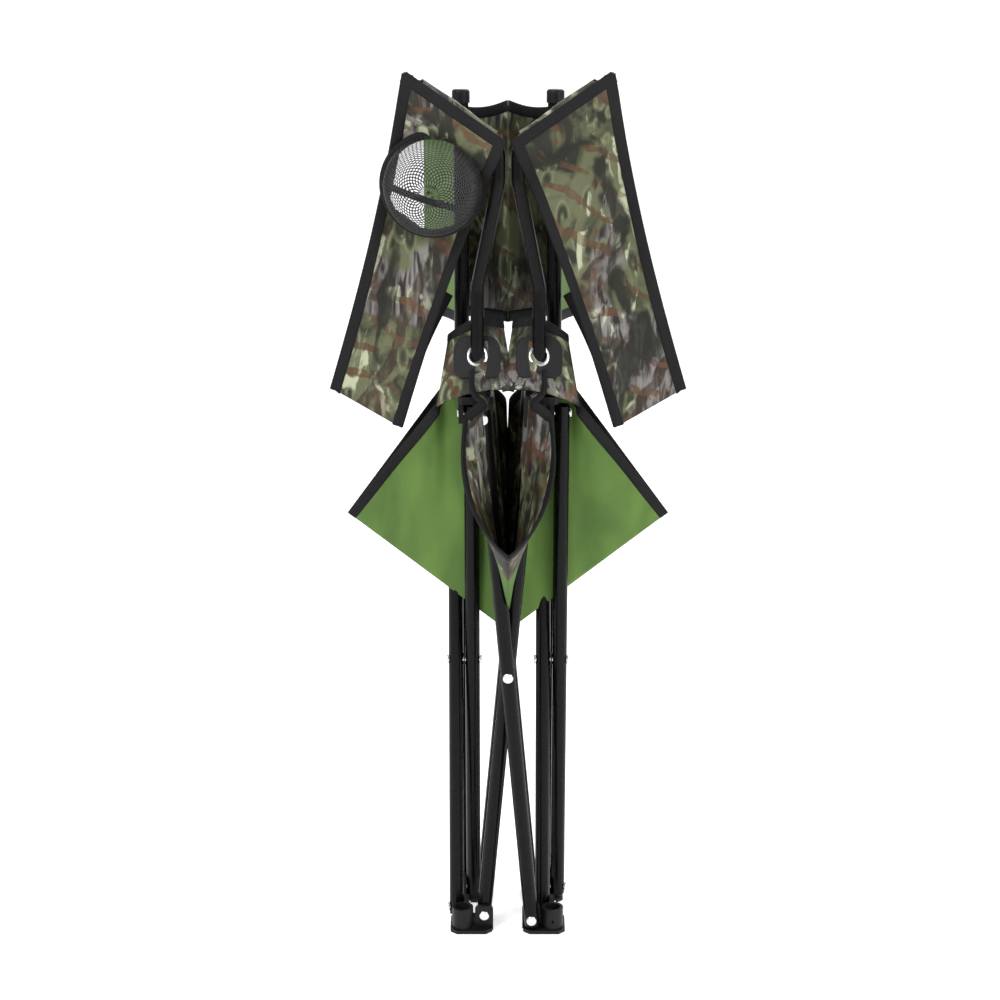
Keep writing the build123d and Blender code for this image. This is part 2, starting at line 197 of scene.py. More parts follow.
@dataclass(frozen=True)
class WoodlandPrint:
    """Printed face of the cloth: soft foliage, bark and branches, with no repeating picture.

    A leaf layer is its turn, its scale, its shadow and its light. A stem layer is its turn, its
    scale and its colour.
    """

    name: str = "woodland_print"
    thread: float = 0.0012
    loam: Colour = rgb(0.014, 0.016, 0.01)
    moss: Colour = rgb(0.11, 0.118, 0.06)
    bark_crack: Colour = rgb(0.014, 0.011, 0.01)
    bark_plate: Colour = rgb(0.2, 0.185, 0.175)
    pale_leaf: Colour = rgb(0.5, 0.53, 0.36)
    dead_leaf: Colour = rgb(0.11, 0.045, 0.02)
    depth: Colour = rgb(0.008, 0.009, 0.006)
    yarn: Colour = rgb(0.3, 0.3, 0.26)
    leaves: tuple[tuple[float, float, Colour, Colour], ...] = (
        (0.9, 34.0, rgb(0.03, 0.04, 0.016), rgb(0.31, 0.325, 0.21)),
        (-0.6, 48.0, rgb(0.02, 0.024, 0.012), rgb(0.19, 0.205, 0.11)),
    )
    stems: tuple[tuple[float, float, Colour], ...] = (
        (0.7, 4.0, rgb(0.06, 0.03, 0.017)),
        (-0.45, 6.0, rgb(0.03, 0.017, 0.011)),
        (1.2, 10.0, rgb(0.09, 0.042, 0.02)),
    )
    specular: float = 0.22

    def ground(self, tree: Tree, flat: bpy.types.NodeSocket) -> bpy.types.NodeSocket:
        """Loam and moss, with upright patches of bark."""
        moss = tree.noise(flat, 20.0, 8.0, 0.8).soft_step(0.38, 0.55)
        bark = tree.noise(flat, 8.5, 3.0, 0.4).soft_step(0.5, 0.55)
        grain = tree.noise(tree.place((1.0, 1.0, 0.14), -0.35), 120.0, 6.0, 0.9).soft_step(0.4, 0.6)
        return tree.mix(bark, tree.mix(moss, self.loam, self.moss),
                        tree.mix(grain, self.bark_crack, self.bark_plate))

    def leaf(self, tree: Tree, flat: bpy.types.NodeSocket, colour: bpy.types.NodeSocket,
             layer: tuple[float, float, Colour, Colour]) -> bpy.types.NodeSocket:
        """Lay ringed cells, long along z, over the colour where a noise is high."""
        turn, scale, dark, light = layer
        cells = tree.node("ShaderNodeTexVoronoi", {"feature": "F1"},
                          {"Vector": tree.place((1.0, 1.0, 0.38), turn), "Scale": scale})
        away = Field(tree, cells.outputs["Distance"])
        shape = 1.0 - away.soft_step(0.3, 0.42)
        shade = tree.mix((away * 9.0).sine().absolute(), light, dark)
        where = tree.noise(flat, 0.4 * scale, 3.0, 0.5).soft_step(0.46, 0.53)
        return tree.mix(shape * where, colour, shade)

    def stem(self, tree: Tree, flat: bpy.types.NodeSocket, colour: bpy.types.NodeSocket,
             number: int) -> bpy.types.NodeSocket:
        """Lay the crests of bent waves over the colour, broken by a noise and grained."""
        turn, scale, shade = self.stems[number]
        waves = tree.node("ShaderNodeTexWave", {"wave_profile": "SIN"},
                          {"Vector": tree.place((1.0, 1.0, 1.0), turn), "Scale": scale,
                           "Distortion": 5.0, "Detail": 4.0, "Detail Scale": 0.9 + 0.4 * number})
        crest = Field(tree, waves.outputs["Fac"]).soft_step(0.82, 0.9)
        broken = tree.noise(flat, 12.0 + 5 * number, 3.0).soft_step(0.48, 0.53)
        grain = tree.noise(tree.place((1.0, 1.0, 0.2), turn), 150.0, 4.0).soft_step(0.3, 0.7)
        return tree.mix(crest * broken * (grain * 0.5 + 0.5), colour, shade)

    def make(self) -> bpy.types.Material:
        """Layers of noise, cells and bent bands, each laid over the one before."""
        tree = Tree(self.name)
        flat = tree.place()
        drawn = tree.place((1.0, 1.0, 0.4), 0.35)
        colour = self.ground(tree, flat)
        for layer in self.leaves:
            colour = self.leaf(tree, flat, colour, layer)
        pale = tree.noise(drawn, 44.0, 9.0, 1.6).soft_step(0.56, 0.66)
        colour = tree.mix(pale * 0.8, colour, self.pale_leaf)
        for number in range(len(self.stems)):
            colour = self.stem(tree, flat, colour, number)
        dead = tree.noise(tree.place((1, 1, 0.6), 0.4), 36.0, 6.0, 1.5).soft_step(0.6, 0.68)
        colour = tree.mix(dead * 0.7, colour, self.dead_leaf)
        depths = tree.noise(drawn, 27.0, 8.0, 1.0).soft_step(0.5, 0.6)
        colour = tree.mix(depths * 0.92, colour, self.depth)
        threads = weave(tree, self.thread)
        tree.feed(tree.shader.inputs["Base Color"], tree.mix(threads * 0.05, colour, self.yarn))
        creases = tree.noise(tree.place((1, 1, 0.5)), 26.0, 3.0, 0.4)
        tree.feed(tree.shader.inputs["Roughness"], creases * 0.2 + 0.42)
        tree.shader.inputs["Specular IOR Level"].default_value = self.specular
        tree.bump(threads * 0.12 + creases * 0.9, 0.55, 0.006)
        return tree.material


@dataclass(frozen=True)
class DyedCloth:
    """Plain dyed face of the cloth, with painted shade in its crease hollows."""

    name: str
    colour: Colour
    # the darker colour: painted shade in the crease hollows, also mixed into the weave pattern
    shade: Colour
    thread: float = 0.0012
    roughness: float = 0.62
    specular: float = 0.25

    def make(self) -> bpy.types.Material:
        """Weave and long soft creases between two close colours; the darker one is painted shade in
        the crease hollows.
        """
        tree = Tree(self.name)
        creases = tree.noise(tree.place((1, 1, 0.4)), 18.0, 4.0, 0.5)
        threads = weave(tree, self.thread)
        # painted shade: where the creases noise is low, in the hollows of the bump, the colour
        # falls to the darker shade
        colour = tree.mix(creases.soft_step(0.3, 0.7), self.shade, self.colour)
        colour = tree.mix(threads * 0.2, colour, self.shade)
        tree.feed(tree.shader.inputs["Base Color"], colour)
        tree.feed(tree.shader.inputs["Roughness"], creases * 0.2 + (self.roughness - 0.1))
        tree.bump(threads * 0.15 + creases * 0.8, 0.5, 0.005)
        tree.shader.inputs["Specular IOR Level"].default_value = self.specular
        return tree.material


@dataclass(frozen=True)
class HardFinish:
    """Paint, metal or moulded plastic with fine surface texture."""

    name: str
    colour: Colour
    worn: Colour
    roughness: float
    metallic: float = 0.0
    grain: float = 900.0
    depth: float = 0.0003
    gloss: float = 0.5

    def make(self) -> bpy.types.Material:
        """Fine grain in the bump, broad handling marks in colour and roughness."""
        tree = Tree(self.name)
        marks = tree.noise(tree.place(), 34.0, 5.0).soft_step(0.45, 0.75)
        grain = tree.noise(tree.place(), self.grain, 2.0)
        tree.feed(tree.shader.inputs["Base Color"], tree.mix(marks * 0.6, self.colour, self.worn))
        tree.feed(tree.shader.inputs["Roughness"], marks * 0.12 + grain * 0.06 + self.roughness)
        tree.shader.inputs["Metallic"].default_value = self.metallic
        tree.shader.inputs["Specular IOR Level"].default_value = self.gloss
        tree.bump(grain, 0.35, self.depth)
        return tree.material


@dataclass(frozen=True)
class OpenMesh:
    """Black knitted mesh with round openings between its threads."""

    name: str = "open_mesh"
    cells: float = 34.0
    thread: float = 0.5

    def make(self) -> bpy.types.Material:
        """Open the cells where the product of two crossed sines is above the thread's share."""
        tree = Tree(self.name)
        uv = tree.node("ShaderNodeTexCoord").outputs["UV"]
        parts = tree.node("ShaderNodeSeparateXYZ", None, {0: uv})
        rate = math.pi * self.cells
        u = Field(tree, parts.outputs[0]) * rate
        v = Field(tree, parts.outputs[1]) * rate
        first = (u + v).sine()
        second = (u - v).sine()
        hole = first.absolute() * second.absolute() > self.thread
        tree.feed(tree.shader.inputs["Alpha"], 1.0 - hole)
        tree.feed(tree.shader.inputs["Base Color"], rgb(0.012, 0.012, 0.013))
        tree.shader.inputs["Roughness"].default_value = 0.6
        return tree.material


@dataclass
class Wardrobe:
    """Every finish of the chair, made once."""

    made: dict[str, bpy.types.Material] = field(default_factory=dict)

    def fill(self) -> None:
        """Make the finishes."""
        finishes = (
            WoodlandPrint(),
            DyedCloth("green_lining", rgb(0.13, 0.235, 0.05), rgb(0.075, 0.145, 0.03)),
            DyedCloth("black_binding", rgb(0.008, 0.008, 0.009), rgb(0.003, 0.003, 0.004),
                      thread=0.0022, roughness=0.75),
            DyedCloth("black_patch", rgb(0.009, 0.009, 0.01), rgb(0.005, 0.005, 0.006),
                      thread=0.003, roughness=0.5),
            HardFinish("powder_coat", rgb(0.002, 0.002, 0.0023), rgb(0.004, 0.004, 0.0043),
                       roughness=0.2, gloss=0.14),
            HardFinish("moulded_foot", rgb(0.006, 0.006, 0.007), rgb(0.012, 0.012, 0.013),
                       roughness=0.38, gloss=0.2),
            HardFinish("nickel", rgb(0.72, 0.73, 0.75), rgb(0.5, 0.5, 0.52),
                       roughness=0.2, metallic=1.0),
            OpenMesh(),
        )
        for finish in finishes:
            self.made[finish.name] = finish.make()

    def __getitem__(self, name: str) -> bpy.types.Material:
        """A finish by name."""
        return self.made[name]


def turned(quarter: int, points: np.ndarray) -> np.ndarray:
    """Points turned by quarter turns about the vertical axis."""
    cosine, sine = ((1, 0), (0, 1), (-1, 0), (0, -1))[quarter % 4]
    turn = np.array([[cosine, -sine, 0], [sine, cosine, 0], [0, 0, 1]], float)
    return points @ turn.T


def smooth(low: float, high: float, value: np.ndarray) -> np.ndarray:
    """Smooth rise from 0 at low to 1 at high."""
    share = np.clip((value - low) / (high - low), 0, 1)
    return share * share * (3 - 2 * share)


def grid_piece(name: str, points: np.ndarray, finishes: list[bpy.types.Material],
               thickness: float = 0.0,
               closed: tuple[bool, bool] = (False, False)) -> bpy.types.Object:
    """A mesh from a grid of points, joined in rows and columns.

    Args:
        name: the piece's name.
        points: array of rows, columns and coordinates, in metres.
        finishes: material of the face side, then of the far side.
        thickness: wall given by a Solidify modifier, or none.
        closed: whether rows and columns join their last to their first.

    Returns:
        The new object, at the origin.
    """
    rows, columns = points.shape[:2]
    row = np.arange(rows if closed[0] else rows - 1)
    column = np.arange(columns if closed[1] else columns - 1)
    r, c = np.meshgrid(row, column, indexing="ij")
    after_r, after_c = (r + 1) % rows, (c + 1) % columns
    faces = np.stack([r * columns + c, after_r * columns + c, after_r * columns + after_c,
                      r * columns + after_c], axis=-1).reshape(-1, 4)
    mesh = bpy.data.meshes.new(name)
    mesh.from_pydata(points.reshape(-1, 3).tolist(), [], faces.tolist())
    layer = mesh.uv_layers.new(name="UVMap")
    corner_u = np.stack([r, r + 1, r + 1, r], axis=-1).reshape(-1) / max(rows - 1, 1)
    corner_v = np.stack([c, c, c + 1, c + 1], axis=-1).reshape(-1) / max(columns - 1, 1)
    uv = np.stack([corner_u, corner_v], axis=-1).reshape(-1)
    layer.data.foreach_set("uv", uv.astype(np.float32))
    mesh.polygons.foreach_set("use_smooth", np.ones(len(mesh.polygons), bool))
    made = bpy.data.objects.new(name, mesh)
    bpy.context.scene.collection.objects.link(made)
    for finish in finishes:
        mesh.materials.append(finish)
    if thickness:
        wall = made.modifiers.new("wall", "SOLIDIFY")
        wall.thickness = thickness
        wall.offset = 0.0
        wall.material_offset = len(finishes) - 1
    return made


def band(name: str, path: np.ndarray, face: np.ndarray, width: float, thickness: float,
         finish: bpy.types.Material) -> bpy.types.Object:
    """A closed flat band along a path: an ellipse whose long axis lies in the cloth.

    Args:
        name: the piece's name.
        path: points along the band's middle.
        face: the cloth's normal, one or one for each point.
        width: across the band.
        thickness: through the band.
        finish: its material.

    Returns:
        The new object.
    """
    along = np.gradient(path, axis=0)
    along /= np.linalg.norm(along, axis=1, keepdims=True)
    face = np.broadcast_to(face, path.shape)
    across = np.cross(along, face)
    across /= np.linalg.norm(across, axis=1, keepdims=True)
    normal = np.cross(across, along)
    angle = np.linspace(0, 2 * math.pi, 12, endpoint=False)
    flat = np.sign(np.cos(angle)) * np.abs(np.cos(angle)) ** 0.6
    round_ = np.sign(np.sin(angle)) * np.abs(np.sin(angle)) ** 0.6
    ring = (across[:, None] * (flat * width / 2)[None, :, None]
            + normal[:, None] * (round_ * thickness / 2)[None, :, None])
    points = path[:, None] + ring
    ends = [np.repeat(path[:1, None], 12, axis=1), points, np.repeat(path[-1:, None], 12, axis=1)]
    points = np.concatenate(ends, axis=0)
    made = grid_piece(name, points, [finish], 0.0, (False, True))
    close_up(made)
    return made


def close_up(piece: bpy.types.Object) -> None:
    """Merge doubled points and turn all faces outward."""
    work = bmesh.new()
    work.from_mesh(piece.data)
    bmesh.ops.remove_doubles(work, verts=work.verts, dist=1e-6)
    bmesh.ops.dissolve_degenerate(work, edges=work.edges, dist=1e-7)
    bmesh.ops.recalc_face_normals(work, faces=work.faces)
    work.to_mesh(piece.data)
    work.free()


def surface_area(points: np.ndarray) -> float:
    """Area of a grid of points, as the sum of its cells' half cross products."""
    first = points[1:, 1:] - points[:-1, :-1]
    second = points[:-1, 1:] - points[1:, :-1]
    return float(np.linalg.norm(np.cross(first, second), axis=-1).sum() / 2)


@dataclass
class Seat:
    """The seat cloth: eight facets that meet along straight folds, with bound hems."""

    finishes: Wardrobe
    corner: float = 0.041
    corner_height: float = 0.632
    middle_height: float = 0.330
    tip_reach: float = 0.1705
    tip_height: float = 0.4626
    opened_half: float = 0.216
    binding: float = 0.011
    cloth: float = 0.0012
    binding_thick: float = 0.0032
    slack: float = 0.007
    ripple: float = 0.0022
    tube_reach: float = 0.026
    tube_cross: float = 0.298
    tube_rise: float = 0.281
    tube_clear: float = 0.0095
    least_gap: float = 0.002
    front_bulge: float = 0.044
    rear_pinch: float = 0.9
    facing: float = 0.3
    least_share: float = 0.31  # of the square cut that a facet's triangle may take
    flap_cut: tuple[float, float] = (0.078, 0.086)
    flap_place: Place = (0.034, -0.034, 0.640)
    flap_half: float = 0.034
    flap_taper: float = 0.18
    flap_lean: float = 0.020
    flap_curl: tuple[float, float] = (0.012, 0.010)  # along y, along z
    flap_tilt: float = 0.008
    flap_ripple: float = 0.002
    flap_cloth: float = 0.0014
    flap_binding: float = 0.0034
    post_place: Place = (0.032, -0.032, 0.640)
    patch_inside: float = 0.0085
    patch_half: float = 0.021
    patch_cloth: float = 0.0018
    patch_stand: float = 0.0032
    eyelet_radius: float = 0.0095
    eyelet_wire: float = 0.0014
    eyelet_depth: float = 0.0019
    eyelet_stand: float = 0.0038

    def gather(self, points: np.ndarray, keep: np.ndarray) -> np.ndarray:
        """Draw the cloth in where it passes between the two tubes of a scissor pair.

        Half the gap grows with height above the tubes' crossing, less a tube's radius; the
        sideways distance x becomes L tanh(x / L), faded by how near the point is to the tubes.

        Args:
            points: points in the station's own frame.
            keep: 1 where the cloth stays as it is, 0 where it may move.

        Returns:
            The gathered points.
        """
        x, y, z = points[..., 0], points[..., 1], points[..., 2]
        gap = self.tube_reach * (z - self.tube_cross) / self.tube_rise - self.tube_clear
        gap = np.maximum(gap, self.least_gap) + 0.05 * smooth(0.596, 0.615, z)
        near = smooth(-0.078, -0.066, y) * (1 - smooth(-0.030, -0.018, y)) * (1 - keep)
        drawn = gap * np.tanh(x / gap)
        moved = points.copy()
        moved[..., 0] = x + (drawn - x) * near
        return moved

    def facet(self, hand: int, front: bool, rear: bool, rows: int = 56,
              columns: int = 28) -> tuple[np.ndarray, np.ndarray]:
        """One triangle, corner to hem fold to middle, with its slack as low waves.

        A point is the corner plus s times the blend, by t, of the two long edges. The slack is
        a product of sines of s and t, so it is nothing on all three edges. The front's hem
        moves out by a power of the sine of s; the rear's x shrinks behind the tubes.

        Args:
            hand: 1 on the right of the station's fold, -1 on the left.
            front: whether this is the front fold, whose hem hangs open in a round mouth.
            rear: whether this is the rear fold, whose two halves hang close together.
            rows: points along s.
            columns: points along t.

        Returns:
            The surface and the hem line.
        """
        corner = np.array([hand * self.corner, -self.corner, self.corner_height])
        tip = np.array([0.0, -self.tip_reach, self.tip_height])
        middle = np.array([0.0, 0.0, self.middle_height])
        s = np.linspace(0.03, 1, rows)[:, None, None]
        t = np.linspace(0, 1, columns)[None, :, None]
        points = corner + s * ((1 - t) * (tip - corner) + t * (middle - corner))
        normal = np.cross(tip - corner, middle - corner)
        normal *= hand / np.linalg.norm(normal)
        slack = self.slack * np.sin(math.pi * s) * np.sin(math.pi * t)
        ripple = (self.ripple * np.sin(math.pi * s) * np.sin(5 * math.pi * t)
                  * np.sin(3 * math.pi * s + 1))
        points = points - normal * (slack + ripple)
        keep = smooth(0.85, 1.0, np.broadcast_to(t[..., 0], points.shape[:2]))
        points = self.gather(points, keep)
        if rear:
            shut = smooth(0.066, 0.092, -points[..., 1]) * (1 - keep)
            points[..., 0] *= 1 - self.rear_pinch * shut
        if front:
            bulge = self.front_bulge * np.sin(math.pi * s) ** 0.8 * (0.2 + 0.8 * s) * (1 - t) ** 1.3
            points[..., 0] += (hand * bulge)[..., 0]
        return points, points[:, 0]

    def build(self) -> None:
        """Make and dress all eight facets, their hems, patches and eyelets."""
        for quarter, station in enumerate(STATIONS):
            for hand, word in ((1, "near"), (-1, "far")):
                at = CORNERS[quarter if hand > 0 else quarter - 1]
                body = f"seat_{station}_{word}"
                points, hem = self.facet(hand, station == "front", station == "rear")
                if hand < 0:
                    points = points[:, ::-1]
                cloth = grid_piece(f"seat_cloth_{station}_{word}", turned(quarter, points),
                                   [self.finishes["green_lining"], self.finishes["woodland_print"]],
                                   self.cloth)
                if quarter == 0:
                    self.face_hem(cloth, hand)
                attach(cloth, body)
                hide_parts(f"seat_{station}_at_{at}")
                inward = points[:, 1 if hand > 0 else -2] - hem
                inward /= np.linalg.norm(inward, axis=1, keepdims=True)
                line = hem + inward * self.binding * 0.35
                along = np.gradient(hem, axis=0)
                face = np.cross(along, inward)
                edge = band(f"seat_binding_{station}_{word}", turned(quarter, line),
                            turned(quarter, face), self.binding, self.binding_thick,
                            self.finishes["black_binding"])
                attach(edge, body)
                cut = self.opened_half ** 2
                min(max(surface_area(points), self.least_share * cut), cut)
            LOG.info("seat %s fold", station)
        for side in Side:
            self.corner_flap(side)
            self.corner_patch(side)

    def face_hem(self, cloth: bpy.types.Object, hand: int) -> None:
        """Turn the print under along the hem: the faces whose v is within the facing's share."""
        cloth.data.materials.append(self.finishes["woodland_print"])
        uv = np.zeros(len(cloth.data.loops) * 2, np.float32)
        cloth.data.uv_layers[0].data.foreach_get("uv", uv)
        across = uv.reshape(-1, 4, 2)[:, :, 1].mean(axis=1)
        across = across if hand > 0 else 1 - across
        cloth.data.polygons.foreach_set("material_index", (across < self.facing).astype(np.int32))

    def corner_flap(self, side: Side) -> None:
        """Printed corner of the seat, pierced by the arm post and standing up behind it.

        Height and depth rise together along v, so that the lower half lies before the post
        and the upper half behind it; both fall off with the square of u.
        """
        name = side.name.lower()
        u = np.linspace(-1, 1, 30)[:, None]
        v = np.linspace(-1, 1, 30)[None, :]
        curl_y, curl_z = self.flap_curl
        x = side.value * (self.flap_place[0] + self.flap_half * u * (1 - self.flap_taper * v))
        y = (self.flap_place[1] + self.flap_lean * v + curl_y * u ** 2
             + self.flap_ripple * np.sin(5 * u + 2 * v))
        z = self.flap_place[2] + self.flap_half * v - curl_z * u ** 2 - self.flap_tilt * u
        points = np.stack([x, y, z], axis=-1)
        if side is Side.LEFT:
            points = points[::-1]
        flap = grid_piece(f"corner_flap_{name}", points, [self.finishes["woodland_print"]],
                          self.flap_cloth)
        top = points[:, -1]
        inward = points[:, -2] - top
        inward /= np.linalg.norm(inward, axis=1, keepdims=True)
        face = np.cross(np.gradient(top, axis=0), inward)
        hem = band(f"corner_binding_{name}", top + inward * 0.004, face, self.binding,
                   self.flap_binding, self.finishes["black_binding"])
        for piece in (flap, hem):
            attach(piece, f"top_front_{name}")
        cut = self.flap_cut[0] * self.flap_cut[1]
        min(surface_area(points), cut)

    def corner_patch(self, side: Side) -> None:
        """Black patch and bright eyelet where the flap is pierced by an arm post.

        The patch is a rounded square, a superellipse of power 4, in the flap's slope; the
        eyelet is a ring around the post in the same slope.
        """
        name = side.name.lower()
        centre = np.array(self.post_place) * np.array([side.value, 1, 1])
        angle = np.linspace(0, 2 * math.pi, 48, endpoint=False)[None, :]
        reach = np.linspace(self.patch_inside, self.patch_half, 14)[:, None]
        square = (np.abs(np.cos(angle)) ** 4 + np.abs(np.sin(angle)) ** 4) ** -0.25
        far = reach * (1 + (square - 1) * smooth(0.0095, 0.02, reach))
        rise = 0.95 * far * np.sin(angle)
        points = np.stack([centre[0] + 1.15 * far * np.cos(angle),
                           centre[1] - self.patch_stand + 0.59 * rise,
                           centre[2] + rise - 8 * (far * np.cos(angle)) ** 2], axis=-1)
        patch = grid_piece(f"corner_patch_{name}", points, [self.finishes["black_patch"]],
                           self.patch_cloth, (False, True))
        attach(patch, f"top_front_{name}")
        turn = np.linspace(0, 2 * math.pi, 16, endpoint=False)[:, None]
        ring = self.eyelet_radius + self.eyelet_wire * np.cos(turn)
        around = np.stack([centre[0] + ring * np.cos(angle),
                           centre[1] - self.eyelet_stand + 0.56 * ring * np.sin(angle),
                           centre[2] + 0.95 * ring * np.sin(angle)
                           + self.eyelet_depth * np.sin(turn)], axis=-1)
        eyelet = grid_piece(f"eyelet_{name}", around, [self.finishes["nickel"]], 0.0, (True, True))
        close_up(eyelet)
        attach(eyelet, f"top_front_{name}")


@dataclass
class ArmRest:
    """One arm rest: a cloth strip folded at its lowest point, with bound long edges."""

    finishes: Wardrobe
    side: Side
    top_inner: Place = (0.003, -0.0412, 0.862)
    top_outer: Place = (0.104, -0.0412, 0.931)
    fold_inner: Place = (0.112, -0.022, 0.561)
    fold_outer: Place = (0.185, -0.022, 0.604)
    rear_inner: Place = (0.060, 0.047, 0.690)
    rear_outer: Place = (0.096, 0.047, 0.712)
    post_line: tuple[Place, Place] = ((0.016, -0.050, 0.864), (0.094, -0.050, 0.919))
    front_slack: tuple[float, float] = (0.010, 0.004)  # long hollow, cross waves
    rear_slack: tuple[float, float] = (-0.003, 0.002)
    waist: float = 0.006
    post_wrap: float = 0.0195
    sleeve_radius: float = 0.0088
    sleeve_cloth: float = 0.001
    sleeve_close: float = 0.0062
    seam: float = 1.06  # cut width over the hung width
    ease: float = 1.02  # cut length over the hung length
    binding: float = 0.012
    binding_thick: float = 0.004
    cloth: float = 0.0016
    cup_radius: float = 0.050
    cup_depth: float = 0.030
    cup_droop: float = 0.008
    rim_wire: tuple[float, float] = (0.0045, 0.003)  # across, through
    tape: tuple[float, float] = (0.007, 0.0016)  # width, thickness
    tape_place: float = 0.012
    tape_stand: float = 0.031

    def point(self, place: Place) -> np.ndarray:
        """A right-hand place, or its mirror image."""
        return np.array(place) * np.array([self.side.value, 1, 1])

    def name(self, piece: str) -> str:
        """A piece's name with the side."""
        return f"{piece}_{self.side.name.lower()}"

    def strip(self, corners: list[np.ndarray], slack: float, wave: float) -> np.ndarray:
        """Ruled surface between two lines, with slack along it and waves across it.

        Args:
            corners: inner start, outer start, inner end, outer end.
            slack: depth of the long hollow.
            wave: height of the cross waves.

        Returns:
            The grid, rows down the strip and columns across it.
        """
        start_in, start_out, end_in, end_out = corners
        v = np.linspace(0, 1, 72)[:, None, None]
        u = np.linspace(0, 1, 30)[None, :, None]
        inner = start_in + (end_in - start_in) * v
        outer = start_out + (end_out - start_out) * v
        points = inner + (outer - inner) * u
        hollow = slack * np.sin(math.pi * v) ** 2 * np.sin(math.pi * u)
        ripple = wave * np.sin(math.pi * v) * np.sin(3.1 * math.pi * u + 2.5 * v)
        points = points + np.array([0, 1.0, 0]) * (hollow + ripple)
        waist = -self.waist * np.sin(math.pi * v) * (2 * u - 1)
        points[..., 0] += (self.side.value * waist)[..., 0]
        return points

    def bind(self, label: str, edge: np.ndarray, inside: np.ndarray, body: str) -> bpy.types.Object:
        """Sew the black binding over one edge."""
        inward = inside - edge
        inward /= np.linalg.norm(inward, axis=1, keepdims=True)
        face = np.cross(np.gradient(edge, axis=0), inward)
        made = band(self.name(label), edge + inward * self.binding * 0.4, face, self.binding,
                    self.binding_thick, self.finishes["black_binding"])
        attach(made, body)
        return made

    def front(self) -> None:
        """Front strip: over the post's sleeve, then down to the fold."""
        body = self.name("arm_front")
        corners = (self.top_inner, self.top_outer, self.fold_inner, self.fold_outer)
        points = self.strip([self.point(corner) for corner in corners], *self.front_slack)
        v = np.linspace(0, 1, 72)[:, None]
        over_post = 1 - smooth(0.05, 0.2, v)
        points[..., 1] -= self.post_wrap * over_post
        cloth = grid_piece(self.name("arm_cloth_front"), points, [self.finishes["woodland_print"]],
                           self.cloth)
        if self.side is Side.LEFT:
            self.cut_cup_hole(cloth)
        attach(cloth, body)
        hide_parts(body)
        edges = [
            self.bind("arm_binding_inner", points[:, 0], points[:, 1], body),
            self.bind("arm_binding_outer", points[:, -1], points[:, -2], body),
            self.bind("arm_binding_top", points[0], points[2], body),
        ]
        area = surface_area(points)
        if self.side is Side.LEFT:
            area -= math.pi * (self.cup_radius - 0.003) ** 2
        width = float(np.linalg.norm(points[0, -1] - points[0, 0]))
        self.name("arm_post")
        self.sleeve(body)

    def sleeve(self, body: str) -> None:
        """Cloth tube around the top of the arm post: rings carried along it, closing at the end."""
        start, finish = (self.point(p) for p in self.post_line)
        along = (finish - start) / np.linalg.norm(finish - start)
        across = np.array([0.0, 1.0, 0.0])
        normal = np.cross(along, across)
        angle = np.linspace(0, 2 * math.pi, 28, endpoint=False)[None, :, None]
        share = np.linspace(0, 1, 24)[:, None, None]
        radius = (self.sleeve_radius + 0.0006 * np.sin(9 * share + 2 * angle)
                  - self.sleeve_close * smooth(0.93, 1.0, share))
        points = (start + (finish - start) * share
                  + radius * (across * np.cos(angle) + normal * np.sin(angle)))
        made = grid_piece(self.name("arm_sleeve"), points, [self.finishes["woodland_print"]],
                          self.sleeve_cloth, (False, True))
        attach(made, self.name("top_front"))
        self.name("arm_post")

    def rear(self) -> None:
        """Rear strip: from the fold back up to the upright, narrowing to its tab."""
        body = self.name("arm_rear")
        corners = (self.fold_inner, self.fold_outer, self.rear_inner, self.rear_outer)
        points = self.strip([self.point(corner) for corner in corners], *self.rear_slack)
        cloth = grid_piece(self.name("arm_cloth_rear"), points,
                           [self.finishes["woodland_print"], self.finishes["green_lining"]],
                           self.cloth)
        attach(cloth, body)
        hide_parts(body)
        edges = [
            self.bind("arm_rear_binding_inner", points[:, 0], points[:, 1], body),
            self.bind("arm_rear_binding_outer", points[:, -1], points[:, -2], body),
        ]
        width = float(np.linalg.norm(points[0, -1] - points[0, 0]))
        self.name("back_upright")
        surface_area(points)

    def cup_axes(self) -> tuple[np.ndarray, np.ndarray, np.ndarray, np.ndarray]:
        """Centre, two axes in the ring's plane and its normal, from the CAD ring's box."""
        low, high = (np.array(corner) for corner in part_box("cup_holder_ring"))
        top = (self.point(self.top_inner) + self.point(self.top_outer)) / 2
        fold = (self.point(self.fold_inner) + self.point(self.fold_outer)) / 2
        down = (fold - top) / np.linalg.norm(fold - top)
        across = self.point(self.top_outer) - self.point(self.top_inner)
        across -= down * (across @ down)
        across /= np.linalg.norm(across)
        normal = np.cross(down, across)
        normal *= -np.sign(normal[1])
        return (low + high) / 2, across, down, normal

    def cut_cup_hole(self, cloth: bpy.types.Object) -> None:
        """Remove the cloth faces whose middles lie inside the ring."""
        centre, across, down, _ = self.cup_axes()
        work = bmesh.new()
        work.from_mesh(cloth.data)
        gone = []
        for face in work.faces:
            offset = np.array(face.calc_center_median()) - centre
            if math.hypot(offset @ across, offset @ down) < self.cup_radius - 0.002:
                gone.append(face)
        bmesh.ops.delete(work, geom=gone, context="FACES")
        work.to_mesh(cloth.data)
        work.free()

